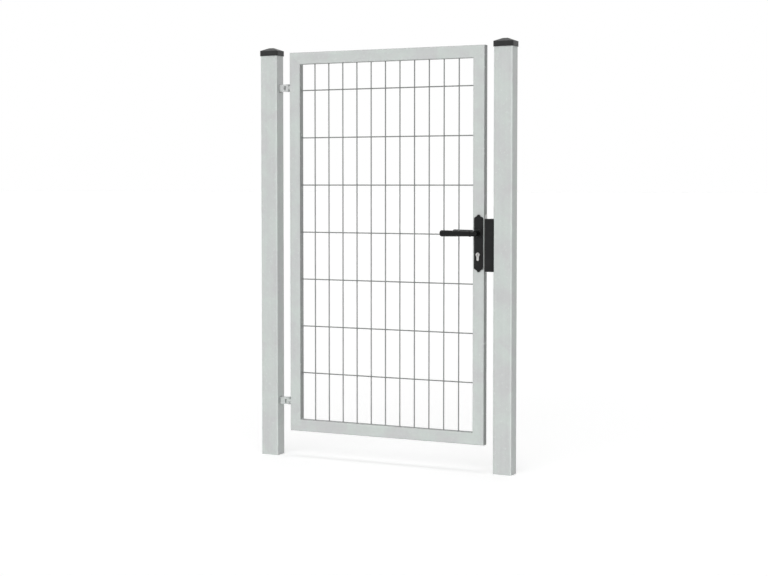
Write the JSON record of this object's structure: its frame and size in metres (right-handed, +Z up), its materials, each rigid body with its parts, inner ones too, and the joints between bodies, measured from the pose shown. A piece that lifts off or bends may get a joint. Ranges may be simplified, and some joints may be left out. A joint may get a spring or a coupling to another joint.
{
  "type": "single-leaf gate",
  "caption": "Single-leaf gate: a box-section frame with a welded wire panel, hung on eye bolt hinges between capped posts, with a lever lock and keeper.",
  "frame": {"origin": "centre of the hinge post's foot, at ground level", "axes": "+Z up, +X from the hinge post toward the lock post, -Y the side that the leaf opens to"},
  "size_m": [1.1666, 0.15, 1.744],
  "materials": {
    "galvanised_steel": "hot-dip galvanised, pale mottled zinc",
    "black_plastic": "moulded black plastic, fine satin grain",
    "black_coating": "black powder coat, fine satin texture",
    "stainless_steel": "satin stainless steel",
    "nickel_plate": "satin nickel"
  },
  "bodies": {
    "posts": {"hinge_post": "galvanised_steel", "lock_post": "galvanised_steel", "hinge_post_cap": "black_plastic", "lock_post_cap": "black_plastic", "upper_hinge_bracket": "galvanised_steel", "lower_hinge_bracket": "galvanised_steel", "upper_hinge_pin": "galvanised_steel", "lower_hinge_pin": "galvanised_steel", "keeper": "black_coating"},
    "leaf": {"hinge_stile": "galvanised_steel", "lock_stile": "galvanised_steel", "top_rail": "galvanised_steel", "bottom_rail": "galvanised_steel", "mesh_panel": "galvanised_steel", "upper_hinge_eye_bolt": "galvanised_steel", "lower_hinge_eye_bolt": "galvanised_steel", "upper_hinge_jam_nut": "galvanised_steel", "lower_hinge_jam_nut": "galvanised_steel", "lock_case": "stainless_steel", "latch_bolt": "stainless_steel", "dead_bolt": "stainless_steel", "lock_cylinder": "nickel_plate", "front_escutcheon": "black_coating", "back_escutcheon": "black_coating"},
    "lever": {"front_lever": "black_coating", "back_lever": "black_coating", "spindle": "stainless_steel"}
  },
  "joints": [
    {"name": "leaf_swing", "type": "hinge", "parent": "posts", "child": "leaf", "pos_m": [0.077, 0, 0.915], "axis": [0, 0, -1], "range_deg": [0, 90]},
    {"name": "lever_turn", "type": "hinge", "parent": "leaf", "child": "lever", "pos_m": [0.972, 0, 0.966], "axis": [0, -1, 0], "range_deg": [0, 40], "stiffness_Nm_per_rad": 1.5, "springref_deg": -34.38}
  ]
}
